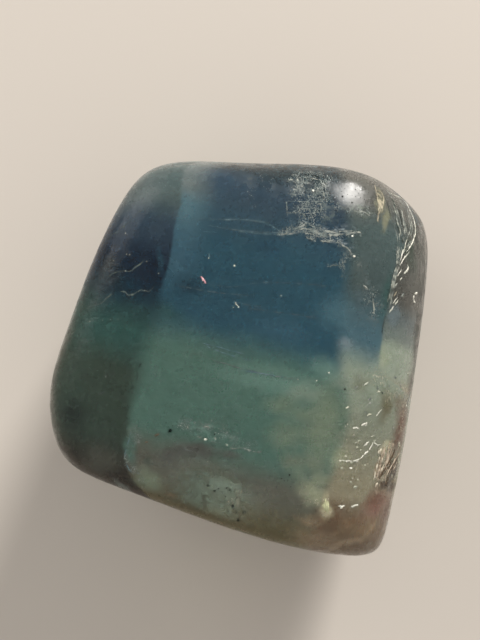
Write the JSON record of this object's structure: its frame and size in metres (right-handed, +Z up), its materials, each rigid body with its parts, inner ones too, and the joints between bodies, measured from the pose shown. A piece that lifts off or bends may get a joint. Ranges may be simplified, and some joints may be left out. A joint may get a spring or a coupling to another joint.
{
  "type": "tumbled fluorite",
  "caption": "Tumbled block of clear fluorite, worn to a rounded four-sided pebble, banded blue, teal, green and pale grey, with healed cracks inside.",
  "frame": {"origin": "on the surface that the stone rests on, under the middle of its bounding box", "axes": "+Z up, from the flat back to the broad show face; +Y along the stone's longest side, towards its blue end; +X across it, towards its cracked side"},
  "size_m": [0.0364, 0.0378, 0.0262],
  "materials": {
    "fluorite": "tumble-polished clear fluorite, cloudy inside, banded navy, blue, teal, green and pale grey"
  },
  "bodies": {
    "root": {"fluorite": "fluorite"}
  },
  "joints": []
}
